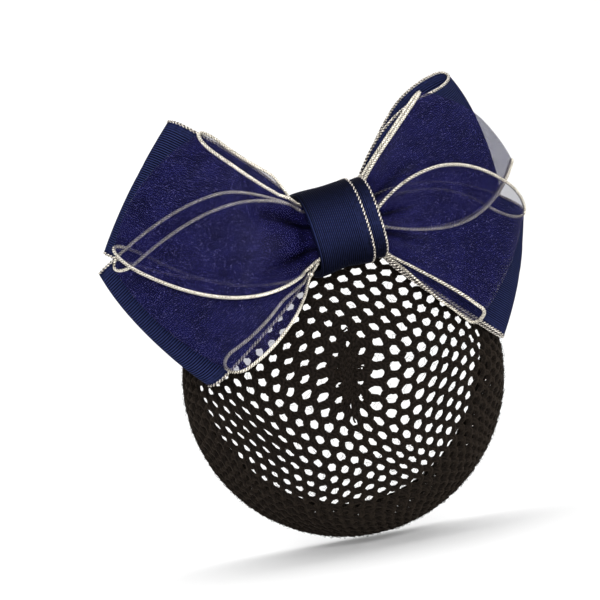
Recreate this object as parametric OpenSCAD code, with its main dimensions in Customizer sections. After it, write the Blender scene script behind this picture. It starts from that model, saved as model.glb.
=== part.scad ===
// Bun net hair clip: a double bow of ribbed and sheer ribbon on a clip, with a knitted net below it.
// The bow runs along X with its front at -Y. The origin is where the back of the clip lies on the head.

/* [Bow] */
// Radius of the head that the bow and the clip bend round
head_r = 100; // [90:1:120]
// Wall of every ribbon
ribbon_wall = 1; // [0.8:0.1:1]
// Step from one ribbon layer to the next where the wrap pinches them
layer_step = 1.5; // [1.5:0.05:1.55]
// Half the height of the ribbons where the wrap pinches them
pinch_h = 9; // [8.4:0.2:9]
// Depth of the gathers beside the wrap
gather_depth = 0.2; // [0:0.1:0.2]
// How much further forward the lower loops lie, because the net is behind them
net_lift = 6; // [4:0.5:8]

/* [Centre wrap] */
// Width of the folded wrap, from its fold to its upper edge
wrap_w = 19; // [16:0.5:20]
// How far the under edge of the wrap shows past the upper one
wrap_ledge = 2.7; // [1:0.1:3]
// Lean of the wrap to the left
wrap_lean = 9; // [0:1:10]

/* [Clip] */
// Length of the clip
clip_l = 60; // [54:1:64]
// Height of its bars
clip_h = 9; // [7:0.5:10]
// Depth of the clip from the head to its outer face
clip_depth = 10; // [10:0.1:10.4]
// Thickness of the outer bar
outer_bar = 1.2; // [1:0.1:1.2]
// Thickness of the bar that lies on the head
inner_bar = 1; // [0.8:0.1:1]
// Length of the closed end of the clip
clip_end = 4; // [3:0.5:6]

/* [Net] */
// Radius of the filled net seen from the front
net_r = 52.5; // [51:0.5:54]
// Half depth of the filled net
net_depth = 40; // [38:0.5:41]
// Thickness of the knitted yarn
net_wall = 1.4; // [1:0.1:1.6]
// Columns of gaps round the net
net_columns = 20; // [16:2:20]
// Rows of gaps from the gather to the mouth
net_rows = 6; // [5:1:6]
// Width of the yarn between two gaps, as a share of a gap
yarn_share = 0.26; // [0.2:0.01:0.35]
// Radius of the elastic at the mouth
rim_r = 1.1; // [0.9:0.1:1.2]

/* [Hidden] */
$fn = 64;
clearance = 0.3;
ribbed_colour = [0.06, 0.1, 0.24];
organza_colour = [0.2, 0.18, 0.4, 0.6];
yarn_colour = [0.12, 0.12, 0.13];

// Each row is one loop of a ribbon ring, from the knot out to its fold. The edges of its front layer
// start at the knot, run towards their pull point and end at their corner. Points are [x, z].
// The openings are half the gap between the layers at the top and the bottom edge, and the rises
// lift those two edges of the back layer.
TOP = 0;
TOP_PULL = 1;
BOTTOM = 2;
BOTTOM_PULL = 3;
OPENING = 4;
RISE = 5;
ribbed_upper_left = [[-43.5, 40.4], [-26, 17], [-67, 1.2], [-38, -24], [4, 0.9], [4, 3]];
ribbed_lower_right = [[67.2, -4.7], [36, 20], [51.2, -43.3], [30, -24], [0.9, 4], [-4, -4]];
ribbed_lower_left = [[-69.2, -1.5], [-33, 20], [-45.6, -42.3], [-28, -31], [0.9, 4], [3, 5]];
ribbed_upper_right = [[50.5, 44], [24, 26], [61, 0], [38, -16], [4, 0.9], [8, 3]];
organza_upper_left = [[-35.4, 34.9], [-24, 15], [-64.5, 4.8], [-37.4, -29.7], [4, 0.9], [4.5, 5.5]];
organza_lower_right = [[66.8, -4.6], [41, 22.5], [45.8, -36], [26, -22], [0.9, 4], [-8, -6]];
organza_lower_left = [[-64.2, -3.9], [-28.8, 19.2], [-38.9, -38], [-15.1, -33.2], [0.9, 4], [4, 9]];
organza_upper_right = [[36.9, 36], [22, 24], [66.8, 8.9], [40, -12.4], [4, 0.9], [2, 4]];

// Each row is one ring: its left loop, its right loop, how many layers lie between it and the clip,
// how far its loops stand off the head's curve, and how far its folds bow outwards.
LEFT = 0;
RIGHT = 1;
LAYERS_UNDER = 2;
STAND_OFF = 3;
FOLD_BOW = 4;
ribbed_back = [ribbed_lower_left, ribbed_upper_right, 0, 12.8, 1.7];
ribbed_front = [ribbed_upper_left, ribbed_lower_right, 2, 18, 1.7];
organza_back = [organza_lower_left, organza_upper_right, 4, 24, 4.7];
organza_front = [organza_upper_left, organza_lower_right, 6, 29.6, 4.7];

// Stations along one layer of a loop, from the knot to just before its fold
stations = [0, 0.12, 0.26, 0.42, 0.58, 0.74, 0.88, 0.96, 0.993];
ribbon_columns = 8;
layers = 8;
knot_half = wrap_w / 2 + wrap_ledge + 1.5;
// How much lower each layer is than the one under it where they are pinched
layer_taper = 0.2;
// Distance past the knot at which the loops are fully spread, and the pitch of the gathers at the knot
spread_reach = 24;
gather_pitch = 4 * pinch_h / ribbon_columns;
// Depth below the knot at which the net has pushed a lower loop all the way forward
lift_drop = 30;

wrap_layer = 1;
wrap_corner = 2.5;
wrap_half_h = pinch_h + 2.6;
stack_depth = 2 * gather_depth + ribbon_wall + (layers - 1) * layer_step;
wrap_front = -clip_depth - head_curve(knot_half) - clearance - stack_depth - clearance;
wrap_back = outer_bar + head_curve(knot_half) + clearance - clip_depth;

// The filled net: its middle, the turn of its gather towards the left, and shares of the way from
// the gather to the mouth. The mouth is near the gather at the top, where the clip holds it.
net_centre = [6, 26, -48];
net_turn = -12;
net_start = 0.12;
net_hem = 0.03;
mouth_top = 44;
mouth_bottom = 118;
rim_sides = 6;
rim_rings = 48;

function mix(a, b, t) = a + (b - a) * t;
function smooth(t) = let (c = min(max(t, 0), 1)) c * c * (3 - 2 * c);
function unit(v) = v / norm(v);

// How far back the head's curve lies when it is x to the side
function head_curve(x) = head_r - sqrt(head_r * head_r - x * x);

function pulled(start, pull, end, t) = mix(mix(start, pull, t), mix(pull, end, t), t);

// A solid from patches of three or four points that run anticlockwise seen from outside
module solid(patches) {
    triangles = [for (p = patches) each len(p) == 3 ? [p] : [[p[0], p[1], p[2]], [p[0], p[2], p[3]]]];
    points = [for (t = triangles) each [t[2], t[1], t[0]]];
    faces = [for (i = [0 : len(triangles) - 1]) [3 * i, 3 * i + 1, 3 * i + 2]];
    polyhedron(points, faces, convexity = 20);
}

// A point of a loop on one side, -1 for left and 1 for right. t runs from the knot to the fold, across
// from the bottom edge to the top edge, and layer is -1 for the front layer and 1 for the back one.
function loop_point(ring, side, t, across, layer) =
    let (
        loop = side < 0 ? ring[LEFT] : ring[RIGHT],
        knot_h = pinch_h - layer_taper * ring[LAYERS_UNDER],
        low = pulled([side * knot_half, -knot_h], loop[BOTTOM_PULL], loop[BOTTOM], t),
        high = pulled([side * knot_half, knot_h], loop[TOP_PULL], loop[TOP], t),
        fold = unit(loop[TOP] - loop[BOTTOM]),
        bow = ring[FOLD_BOW] * pow(t, 4) * 4 * across * (1 - across) * side * [fold[1], -fold[0]],
        rise = layer < 0 ? 0 : mix(loop[RISE][1], loop[RISE][0], across) * sin(180 * t),
        flat = mix(low, high, across) + bow + [0, rise],
        open_edge = loop[OPENING][0] > loop[OPENING][1] ? across : 1 - across,
        opening = mix(min(loop[OPENING]), max(loop[OPENING]), pow(open_edge, 3)),
        spread = smooth((abs(flat[0]) - knot_half) / spread_reach),
        gap = mix(layer_step / 2, opening, spread) * sqrt(1 - pow(t, 8)),
        pinched = clip_depth + head_curve(knot_half) + clearance + gather_depth + ribbon_wall / 2
            + layer_step * (ring[LAYERS_UNDER] + 0.5),
        depth = mix(pinched, ring[STAND_OFF], spread) - layer * gap,
        gather = gather_depth * (1 - spread) * cos(360 * flat[1] / (gather_pitch * (1 + spread))),
        lift = net_lift * smooth(-flat[1] / lift_drop)
    )
    [flat[0], head_curve(flat[0]) - depth - gather - lift, flat[1]];

// The whole way round a ring, as [side, t, layer]: the left loop and then the right one
ring_stations = concat(
    [for (t = stations) [-1, t, -1]],
    [[-1, 1, -1]],
    [for (i = [len(stations) - 1 : -1 : 0]) [-1, stations[i], 1]],
    [for (t = stations) [1, t, 1]],
    [[1, 1, -1]],
    [for (i = [len(stations) - 1 : -1 : 0]) [1, stations[i], -1]]
);

// A closed ribbon ring with its wall. The middle of the wall is a grid: round the ring, then across it.
module ribbon_ring(ring) {
    rows = len(ring_stations);
    last = ribbon_columns;
    grid = [for (s = ring_stations) [for (j = [0 : last]) loop_point(ring, s[0], s[1], j / last, s[2])]];
    walls = [for (skin = [-1, 1]) [for (i = [0 : rows - 1]) [for (j = [0 : last])
        let (
            along = grid[(i + 1) % rows][j] - grid[(i + rows - 1) % rows][j],
            across = grid[i][min(j + 1, last)] - grid[i][max(j - 1, 0)]
        )
        grid[i][j] + skin * ribbon_wall / 2 * unit(cross(along, across))]]];
    solid([for (i = [0 : rows - 1]) let (next = (i + 1) % rows) each concat(
        [for (j = [0 : last - 1]) each [
            [walls[1][i][j], walls[1][next][j], walls[1][next][j + 1], walls[1][i][j + 1]],
            [walls[0][i][j], walls[0][i][j + 1], walls[0][next][j + 1], walls[0][next][j]]
        ]],
        [
            [walls[0][i][0], walls[0][next][0], walls[1][next][0], walls[1][i][0]],
            [walls[1][i][last], walls[1][next][last], walls[0][next][last], walls[0][i][last]]
        ]
    )]);
}

module ribbed_ribbon_back() {
    color(ribbed_colour) ribbon_ring(ribbed_back);
}

module ribbed_ribbon_front() {
    color(ribbed_colour) ribbon_ring(ribbed_front);
}

module organza_ribbon_back() {
    color(organza_colour) ribbon_ring(organza_back);
}

module organza_ribbon_front() {
    color(organza_colour) ribbon_ring(organza_front);
}

// The outline of a band round the middle, seen along the bow: x is its depth and y its height
module band_outline(grow) {
    front = wrap_front - grow;
    back = wrap_back + grow;
    half_h = wrap_half_h + grow;
    corner = wrap_corner + grow;
    translate([front + corner, -half_h]) square([back - front - corner, 2 * half_h]);
    translate([front, corner - half_h]) square([corner + 1, 2 * (half_h - corner)]);
    for (side = [-1, 1]) translate([front + corner, side * (half_h - corner)]) circle(corner);
}

// One layer of the wrap, w wide, standing grow off what it is wound round
module wrap_ring(w, grow) {
    translate([-wrap_w / 2, 0, 0]) rotate([90, 0, 90]) linear_extrude(w) difference() {
        band_outline(grow + wrap_layer);
        band_outline(grow);
    }
}

// The ribbon is folded lengthwise, with the fold on the left and its two edges on the right
module centre_wrap() {
    color(ribbed_colour) rotate([0, -wrap_lean, 0]) {
        wrap_ring(wrap_w + wrap_ledge, 0);
        wrap_ring(wrap_w, wrap_layer);
    }
}

// A bar bent to the head's curve, whose back stands off the head by depth
module bent_bar(depth, thickness) {
    linear_extrude(clip_h, center = true) intersection() {
        translate([0, head_r]) difference() {
            circle(head_r + depth + thickness);
            circle(head_r + depth);
        }
        translate([-clip_l / 2, -clip_depth - 1]) square([clip_l, head_r / 2]);
    }
}

// Two slim bars joined at their ends, with the gap for the hair between them
module clip() {
    color("silver") union() {
        bent_bar(0, inner_bar);
        bent_bar(clip_depth - outer_bar, outer_bar);
        intersection() {
            bent_bar(0, clip_depth);
            for (side = [-1, 1]) translate([side * (clip_l - clip_end) / 2, 0, 0])
                cube([clip_end, 4 * clip_depth, 2 * clip_h], center = true);
        }
    }
}

// How far round the net its mouth lies from its gather, at each turn about the gather
function mouth_angle(turn) = mix(mouth_bottom, mouth_top, pow((1 + sin(turn)) / 2, 3));

// A point of the filled net. reach runs from 0 at the gather to 1 at the mouth, turn goes round from
// the right-hand side over the top, and proud is how far the point lies outside the middle of the yarn.
function net_point(reach, turn, proud) =
    let (
        angle = reach * mouth_angle(turn),
        across = (net_r + proud) * sin(angle) * cos(turn),
        forward = (net_depth + proud) * cos(angle)
    )
    net_centre + [
        across * cos(net_turn) + forward * sin(net_turn),
        across * sin(net_turn) - forward * cos(net_turn),
        (net_r + proud) * sin(angle) * sin(turn)
    ];

// Columns of six-sided gaps run out from the gather, each half a gap further out than the last. So
// the corners of their frames lie on a lattice of half rows outwards and thirds of a column round.
half_row_reach = (1 - net_start - net_hem) / (2 * net_rows + 1);
thirds = 3 * net_columns;
HEXAGON = [[-1, 1], [-1, -1], [0, -2], [1, -1], [1, 1], [0, 2]];

function lattice(half_row, third, skin) = net_point(
    net_start + half_row * half_row_reach,
    ((third + thirds) % thirds) * 360 / thirds,
    skin * net_wall / 2
);

// A corner of a gap's frame at size 1, and of the hole in it at a smaller size
function gap_corner(row, column, k, size, skin) = lattice(
    2 * row + 1 + column % 2 + size * HEXAGON[k % 6][0],
    3 * column + size * HEXAGON[k % 6][1],
    skin
);

// The yarn along side k of a gap: its outside, its inside and the wall of the hole
function gap_side(row, column, k) =
    let (
        hole = 1 - yarn_share,
        outer = [for (size = [1, hole]) for (c = [k, k + 1]) gap_corner(row, column, c, size, 1)],
        inner = [for (size = [1, hole]) for (c = [k, k + 1]) gap_corner(row, column, c, size, -1)]
    )
    [
        [outer[0], outer[1], outer[3], outer[2]],
        [inner[1], inner[0], inner[2], inner[3]],
        [outer[2], outer[3], inner[3], inner[2]]
    ];

// The zigzag line where the gaps start or end, which begins at half row first
function border(first, skin) = [for (column = [0 : net_columns - 1]) for (step = [-1, 1])
    lattice(first + column % 2, 3 * column + step, skin)];

// The mouth's edge, with the same turns as the border
function mouth(skin) = [for (column = [0 : net_columns - 1]) for (step = [-1, 1])
    net_point(1, ((3 * column + step + thirds) % thirds) * 360 / thirds, skin * net_wall / 2)];

module bun_net() {
    count = 2 * net_columns;
    gather = [for (skin = [-1, 1]) net_point(0, 0, skin * net_wall / 2)];
    starts = [for (skin = [-1, 1]) border(0, skin)];
    ends = [for (skin = [-1, 1]) border(2 * net_rows, skin)];
    hem = [for (skin = [-1, 1]) mouth(skin)];
    color(yarn_colour) solid(concat(
        [for (row = [0 : net_rows - 1]) for (column = [0 : net_columns - 1]) for (k = [0 : 5])
            each gap_side(row, column, k)],
        [for (i = [0 : count - 1]) let (next = (i + 1) % count) each [
            [gather[1], starts[1][i], starts[1][next]],
            [gather[0], starts[0][next], starts[0][i]],
            [ends[1][i], hem[1][i], hem[1][next], ends[1][next]],
            [ends[0][next], hem[0][next], hem[0][i], ends[0][i]],
            [hem[1][i], hem[0][i], hem[0][next], hem[1][next]]
        ]]
    ));
}

// The elastic runs along the hem, just past it
module net_rim() {
    reach = [for (i = [0 : rim_rings - 1]) 1 + (rim_r + 4 * clearance) * 180 / PI / net_r
        / mouth_angle(i * 360 / rim_rings)];
    line = [for (i = [0 : rim_rings - 1]) net_point(reach[i], i * 360 / rim_rings, 0)];
    rings = [for (i = [0 : rim_rings - 1])
        let (
            along = unit(line[(i + 1) % rim_rings] - line[(i + rim_rings - 1) % rim_rings]),
            out = unit(cross(along, net_centre - line[i])),
            up = cross(along, out)
        )
        [for (k = [0 : rim_sides - 1])
            line[i] + rim_r * (cos(360 * k / rim_sides) * out + sin(360 * k / rim_sides) * up)]];
    color(yarn_colour) solid([for (i = [0 : rim_rings - 1]) for (k = [0 : rim_sides - 1])
        let (next = (i + 1) % rim_rings, beside = (k + 1) % rim_sides)
        [rings[i][k], rings[i][beside], rings[next][beside], rings[next][k]]]);
}

clip();
ribbed_ribbon_back();
ribbed_ribbon_front();
organza_ribbon_back();
organza_ribbon_front();
centre_wrap();
bun_net();
net_rim();
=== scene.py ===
"""Looks of a bun net hair clip: a double ribbon bow on a clip, with a knitted net below it.

The bow runs along X with its front at -Y, and the origin is the middle of the clip's back.
Sizes are in millimetres until a mesh is made, which is in metres.
"""

import logging
from dataclasses import dataclass
from enum import Enum, IntEnum

import bpy
import numpy as np
from mathutils import Matrix, Vector


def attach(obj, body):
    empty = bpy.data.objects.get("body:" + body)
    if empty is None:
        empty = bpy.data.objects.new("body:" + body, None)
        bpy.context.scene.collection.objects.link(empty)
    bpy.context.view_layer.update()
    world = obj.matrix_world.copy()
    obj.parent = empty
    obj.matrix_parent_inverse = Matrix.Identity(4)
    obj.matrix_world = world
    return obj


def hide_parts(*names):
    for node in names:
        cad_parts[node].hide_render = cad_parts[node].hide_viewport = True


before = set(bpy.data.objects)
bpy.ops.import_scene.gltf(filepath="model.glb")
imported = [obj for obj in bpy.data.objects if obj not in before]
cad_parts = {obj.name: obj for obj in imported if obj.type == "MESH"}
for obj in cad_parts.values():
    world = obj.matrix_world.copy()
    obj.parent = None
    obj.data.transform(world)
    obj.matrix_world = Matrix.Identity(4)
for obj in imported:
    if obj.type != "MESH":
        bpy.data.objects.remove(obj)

Number = float | np.ndarray
Pair = tuple[float, float]
Place = tuple[float, float, float]
Colour = tuple[float, float, float, float]
Socket = bpy.types.NodeSocket
Tree = bpy.types.NodeTree

LOG = logging.getLogger("hair_clip")
MM = 0.001
SEED = 7
BODY = "root"
UV_MM = 100.0  # millimetres of cloth or cord to one unit of a UV map
KEPT_IN_PAINTED_SHADE = 0.08  # how much of its colour the cloth keeps in the deepest painted shade, at the bottom of a fold
TIP_R = 1e-3  # half the width of a thread at its drawn-in ends
TINY = 1e-9  # keeps a vector of no length from being divided by nothing


def mix(start: Number, end: Number, t: Number) -> Number:
    """Goes from start to end as t goes from 0 to 1."""
    return start + (end - start) * t


def smooth(t: Number) -> np.ndarray:
    """Eases from 0 to 1: three t squared less two t cubed, with t held within 0 and 1."""
    held = np.clip(t, 0.0, 1.0)
    return held * held * (3.0 - 2.0 * held)


def unit(vectors: np.ndarray) -> np.ndarray:
    """Vectors along the last axis, each divided by its length."""
    return vectors / np.maximum(np.linalg.norm(vectors, axis=-1, keepdims=True), TINY)


def linear(hex_colour: str, alpha: float = 1.0) -> Colour:
    """Turns an sRGB colour into Blender's linear one: a straight line in the darks and a power above them.

    Args:
        hex_colour: Six hexadecimal digits, red first.
        alpha: The fourth channel.

    Returns:
        Linear red, green, blue and alpha.
    """
    srgb = [int(hex_colour[i : i + 2], 16) / 255 for i in (0, 2, 4)]
    return (*(c / 12.92 if c <= 0.04045 else ((c + 0.055) / 1.055) ** 2.4 for c in srgb), alpha)


def add_node(tree: Tree, kind: str, inputs: dict[str | int, object], output: str | int = 0,
             stops: tuple[tuple[float, Colour], ...] = (), **settings: object) -> Socket:
    """Adds a node with its settings and links.

    Args:
        tree: The material's node tree.
        kind: Blender's name of the node type, without the leading ShaderNode.
        inputs: Input name or number to the socket that feeds it, or to its fixed value.
        output: Name or number of the wanted output.
        stops: The places from 0 to 1 and the colours of a colour ramp.
        **settings: Properties of the node itself.

    Returns:
        The wanted output.
    """
    node = tree.nodes.new("ShaderNode" + kind)
    for name, value in settings.items():
        setattr(node, name, value)
    for key, value in inputs.items():
        if isinstance(value, Socket):
            tree.links.new(value, node.inputs[key])
        else:
            node.inputs[key].default_value = value
    for number, (place, colour) in enumerate(stops):
        elements = node.color_ramp.elements
        element = elements[number] if number < len(elements) else elements.new(1.0)
        element.position = place
        element.color = colour
    return node.outputs[output]


def principled(name: str, **sockets: object) -> tuple[bpy.types.Material, Tree, bpy.types.Node]:
    """Makes a material with one Principled shader.

    Args:
        name: The material's name.
        **sockets: Socket names, with _ for a space, and their values.

    Returns:
        The material, its node tree and its shader.
    """
    material = bpy.data.materials.new(name)
    material.use_nodes = True
    tree = material.node_tree
    shader = tree.nodes["Principled BSDF"]
    for key, value in sockets.items():
        shader.inputs[key.replace("_", " ")].default_value = value
    return material, tree, shader


def cloth_coordinates(tree: Tree) -> tuple[Socket, Socket, Socket]:
    """Reads the piece's own UV map in millimetres.

    Args:
        tree: The material's node tree.

    Returns:
        The place on the cloth or cord as a vector, the way along it and the way across it.
    """
    uv = add_node(tree, "UVMap", {}, "UV", uv_map="cloth")
    place = add_node(tree, "VectorMath", {0: uv, "Scale": UV_MM}, operation="SCALE")
    along = add_node(tree, "SeparateXYZ", {0: place}, "X")
    return place, along, along.node.outputs["Y"]


def with_painted_shade(tree: Tree, colour: Socket) -> Socket:
    """Paints shade into a colour by the mesh's own fold attribute, darker in the bottom of the folds.

    Args:
        tree: The material's node tree.
        colour: The colour of the flat cloth.

    Returns:
        The colour with its painted shade.
    """
    fold = add_node(tree, "Attribute", {}, "Fac", attribute_name="fold")
    light = add_node(tree, "MapRange", {"Value": fold, "To Min": 1.0, "To Max": KEPT_IN_PAINTED_SHADE})
    return add_node(tree, "VectorMath", {0: colour, "Scale": light}, operation="SCALE")


def wave(tree: Tree, along: Socket, pitch: float) -> Socket:
    """A sine of height 1 that repeats every pitch millimetres along a coordinate."""
    turned = add_node(tree, "Math", {0: along, 1: 2 * np.pi / pitch}, operation="MULTIPLY")
    return add_node(tree, "Math", {0: turned}, operation="SINE")


def winding(tree: Tree, along: Socket, across: Socket, slant: float) -> Socket:
    """The way along a cord plus slant times the way round it, for stripes that wind round the cord."""
    sideways = add_node(tree, "Math", {0: across, 1: slant}, operation="MULTIPLY")
    return add_node(tree, "Math", {0: along, 1: sideways}, operation="ADD")


@dataclass(frozen=True)
class RibbedRibbonFinish:
    """Woven polyester ribbon with ribs along it. The eye sees a matt navy with fine lines of painted light
    on the ribs and painted shade between them, a smooth border at each edge, a faint blue sheen and painted
    shade in the folds."""

    name: str = "ribbed polyester ribbon"
    width: float = 50.0
    rib_pitch: float = 0.8  # the real ribs are about 0.5 mm apart, too fine to show
    rib_contrast: float = 0.62
    weft_pitch: float = 0.55  # the real wefts are about 0.2 mm apart, too fine to show
    weft_height: float = 0.1
    border: float = 3.0
    border_from: float = 0.7  # the part of the border where the ribs are lowest
    border_height: float = 0.25
    cloud_per_mm: float = 0.9
    bump_mm: float = 0.1
    dark: str = "020307"
    light: str = "20264a"
    sheen: str = "4f66c0"

    def material(self) -> bpy.types.Material:
        """Ribs are a sine across the ribbon, lower on the woven border, with a weak sine of wefts along it.

        Returns:
            The material.
        """
        material, tree, shader = principled(
            self.name, Roughness=0.66, IOR=1.5, Sheen_Weight=0.015, Sheen_Roughness=0.4,
            Sheen_Tint=linear(self.sheen), Specular_IOR_Level=0.02)
        place, along, across = cloth_coordinates(tree)
        from_edge = add_node(tree, "Math", {0: across, 1: self.width / 2}, operation="PINGPONG")
        height = add_node(tree, "MapRange", {
            "Value": from_edge, "From Min": self.border * self.border_from, "From Max": self.border,
            "To Min": self.border_height, "To Max": 1.0})
        ribs = add_node(tree, "Math", {0: wave(tree, across, self.rib_pitch), 1: height},
                        operation="MULTIPLY")
        wefts = add_node(tree, "Math", {0: wave(tree, along, self.weft_pitch), 1: self.weft_height},
                         operation="MULTIPLY")
        weave = add_node(tree, "Math", {0: ribs, 1: wefts}, operation="ADD")
        cloud = add_node(tree, "TexNoise", {"Vector": place, "Scale": self.cloud_per_mm, "Detail": 3.0})
        # the ribs' relief goes into the colour as well as the bump: painted light on the crests and painted
        # shade in the troughs, over a cloud of real tone
        shade = add_node(tree, "Math", {0: weave, 1: self.rib_contrast, 2: cloud}, operation="MULTIPLY_ADD")
        stops = ((0.1, linear(self.dark)), (1.0, linear(self.light)))
        colour = add_node(tree, "ValToRGB", {0: shade}, "Color", stops)
        bump = add_node(tree, "Bump", {"Height": weave, "Strength": 0.8, "Distance": self.bump_mm * MM})
        # painted shade in the bottom of the folds, and at the wrap's top and bottom
        tree.links.new(with_painted_shade(tree, colour), shader.inputs["Base Color"])
        tree.links.new(bump, shader.inputs["Normal"])
        return material


@dataclass(frozen=True)
class OrganzaFinish:
    """Sheer nylon organza. The eye sees a crisp violet navy gauze, darker where two layers lie on each
    other and in the painted shade at the bottom of its folds, with fine painted glints that go out where
    the cloth is gathered."""

    name: str = "sheer nylon organza"
    thread_pitch: float = 0.9  # the real threads are about 0.15 mm apart, too fine to show
    thread_contrast: float = 0.05
    # painted glints: the size of their cells, their spots, how rare they are and how faint where gathered
    painted_glint_mm: float = 0.65  # painted glints; the real sparkles are about 0.1 mm wide, too fine to show
    painted_glint_spot: Pair = (0.12, 0.36)  # cell widths at which a spot begins and ends to fade
    painted_glint_rarity: float = 2.2
    painted_glint_gathered: float = 0.05
    cloud_per_mm: float = 0.16
    skin_alpha: float = 0.3
    ground: str = "0b0a26"
    bright: str = "1a1946"
    # the colour of the painted glints
    glint: str = "6f6ca8"
    sheen: str = "6d66e8"

    def material(self) -> bpy.types.Material:
        """Each of the wall's two skins lets most light through. The threads are two crossed sines, and the
        painted glints are a small spot in the middle of each cell, bright in a few of them.

        Returns:
            The material.
        """
        material, tree, shader = principled(
            self.name, Roughness=0.5, IOR=1.53, Sheen_Weight=0.04, Sheen_Roughness=0.35,
            Sheen_Tint=linear(self.sheen), Specular_IOR_Level=0.03, Alpha=self.skin_alpha)
        place, along, across = cloth_coordinates(tree)
        threads = add_node(tree, "Math", {
            0: wave(tree, along, self.thread_pitch), 1: wave(tree, across, self.thread_pitch)},
            operation="MULTIPLY")
        # painted glints: a small bright spot in a few cells, fainter where the cloth is gathered
        cell = add_node(tree, "TexVoronoi", {"Vector": place, "Scale": 1.0 / self.painted_glint_mm}, "Color")
        pick = add_node(tree, "SeparateColor", {0: cell})
        spot = add_node(tree, "MapRange", {
            "Value": cell.node.outputs["Distance"], "From Min": self.painted_glint_spot[0],
            "From Max": self.painted_glint_spot[1], "To Min": 1.0, "To Max": 0.0})
        spread = add_node(tree, "Attribute", {}, "Fac", attribute_name="spread")
        open_cloth = add_node(tree, "Math", {
            0: spread, 1: 1 - self.painted_glint_gathered, 2: self.painted_glint_gathered}, operation="MULTIPLY_ADD")
        lit = add_node(tree, "Math", {0: spot, 1: open_cloth}, operation="MULTIPLY")
        rare = add_node(tree, "Math", {0: pick, 1: self.painted_glint_rarity}, operation="POWER")
        spark = add_node(tree, "Math", {0: rare, 1: lit}, operation="MULTIPLY")
        cloud = add_node(tree, "TexNoise", {"Vector": place, "Scale": self.cloud_per_mm, "Detail": 1.5})
        shade = add_node(tree, "Math", {0: threads, 1: self.thread_contrast, 2: cloud},
                         operation="MULTIPLY_ADD")
        stops = ((0.2, linear(self.ground)), (0.8, linear(self.bright)))
        ground = add_node(tree, "ValToRGB", {0: shade}, "Color", stops)
        colour = add_node(tree, "MixRGB", {"Fac": spark, "Color1": ground, "Color2": linear(self.glint)})
        # painted shade in the bottom of the folds
        tree.links.new(with_painted_shade(tree, colour), shader.inputs["Base Color"])
        return material


@dataclass(frozen=True)
class MetallicThreadFinish:
    """Metallised film wound round a core. The eye sees pale metal with small painted glints, and painted
    shade in dark lines where the strands of a cord meet.

    The girth is the way round one strand, in millimetres.
    """

    name: str
    pale: str
    deep: str
    dark: str
    girth: float
    turn_mm: float = 0.64  # the film's real turns are about 0.15 mm apart, too fine to show
    turn_slant: float = 0.4
    turn_contrast: float = 0.22
    glint_mm: float = 0.45  # painted glints; the real ones are about 0.1 mm wide, too fine to show
    glint_contrast: float = 0.5
    cloud_per_mm: float = 2.2
    cloud_contrast: float = 0.4
    lightness: float = 0.42
    # painted shade on the flanks of each strand, darkest where strands meet
    inner_shade: float = 0.95
    bump_mm: float = 0.05

    def material(self) -> bpy.types.Material:
        """The film's turns are a slanted sine and its painted glints are cells of differing lightness. The
        way round the strand from its outermost line sets how dark it is, a painted shade where strands meet.

        Returns:
            The material.
        """
        material, tree, shader = principled(self.name, Metallic=0.5, Roughness=0.36)
        place, along, across = cloth_coordinates(tree)
        turns = wave(tree, winding(tree, along, across, self.turn_slant), self.turn_mm)
        cloud = add_node(tree, "TexNoise", {"Vector": place, "Scale": self.cloud_per_mm, "Detail": 2.0})
        # the way round the strand from its outermost line, for the painted shade where strands meet
        inward = add_node(tree, "Math", {0: across, 1: self.girth / 2}, operation="PINGPONG")
        inward = add_node(tree, "Math", {0: inward, 1: self.girth / 2}, operation="DIVIDE")
        cell = add_node(tree, "TexVoronoi", {"Vector": place, "Scale": 1.0 / self.glint_mm}, "Color")
        pick = add_node(tree, "SeparateColor", {0: cell})
        shade = add_node(tree, "Math", {0: cloud, 1: self.cloud_contrast, 2: self.lightness},
                         operation="MULTIPLY_ADD")
        # painted glints from the cells, the film's turns, and painted shade towards where strands meet
        for part, share in ((pick, self.glint_contrast), (turns, self.turn_contrast),
                            (inward, -self.inner_shade)):
            shade = add_node(tree, "Math", {0: part, 1: share, 2: shade}, operation="MULTIPLY_ADD")
        # the dark stop is reached mostly in the painted shade where strands meet
        stops = ((0.1, linear(self.dark)), (0.4, linear(self.deep)), (0.75, linear(self.pale)))
        colour = add_node(tree, "ValToRGB", {0: shade}, "Color", stops)
        bump = add_node(tree, "Bump", {"Height": turns, "Strength": 0.5, "Distance": self.bump_mm * MM})
        tree.links.new(colour, shader.inputs["Base Color"])
        tree.links.new(bump, shader.inputs["Normal"])
        return material


@dataclass(frozen=True)
class YarnFinish:
    """Brushed acrylic yarn. The eye sees a matt, fuzzy black with two plies that wind round each other."""

    name: str = "brushed acrylic yarn"
    ply_pitch: float = 1.7
    ply_slant: float = 0.55
    ply_contrast: float = 0.18
    fluff_per_mm: float = 3.0
    bump_mm: float = 0.18
    dark: str = "040302"
    light: str = "171311"
    sheen: str = "8a7866"

    def material(self) -> bpy.types.Material:
        """The plies are a slanted sine round the cord, broken up by the fluff's noise.

        Returns:
            The material.
        """
        material, tree, shader = principled(
            self.name, Roughness=0.92, IOR=1.5, Sheen_Weight=0.12, Sheen_Roughness=0.6,
            Sheen_Tint=linear(self.sheen), Specular_IOR_Level=0.04)
        place, along, across = cloth_coordinates(tree)
        plies = wave(tree, winding(tree, along, across, self.ply_slant), self.ply_pitch)
        fluff = add_node(tree, "TexNoise", {"Vector": place, "Scale": self.fluff_per_mm, "Detail": 4.0})
        shade = add_node(tree, "Math", {0: plies, 1: self.ply_contrast, 2: fluff}, operation="MULTIPLY_ADD")
        stops = ((0.3, linear(self.dark)), (0.8, linear(self.light)))
        colour = add_node(tree, "ValToRGB", {0: shade}, "Color", stops)
        bump = add_node(tree, "Bump", {"Height": shade, "Strength": 0.7, "Distance": self.bump_mm * MM})
        tree.links.new(colour, shader.inputs["Base Color"])
        tree.links.new(bump, shader.inputs["Normal"])
        return material


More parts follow.
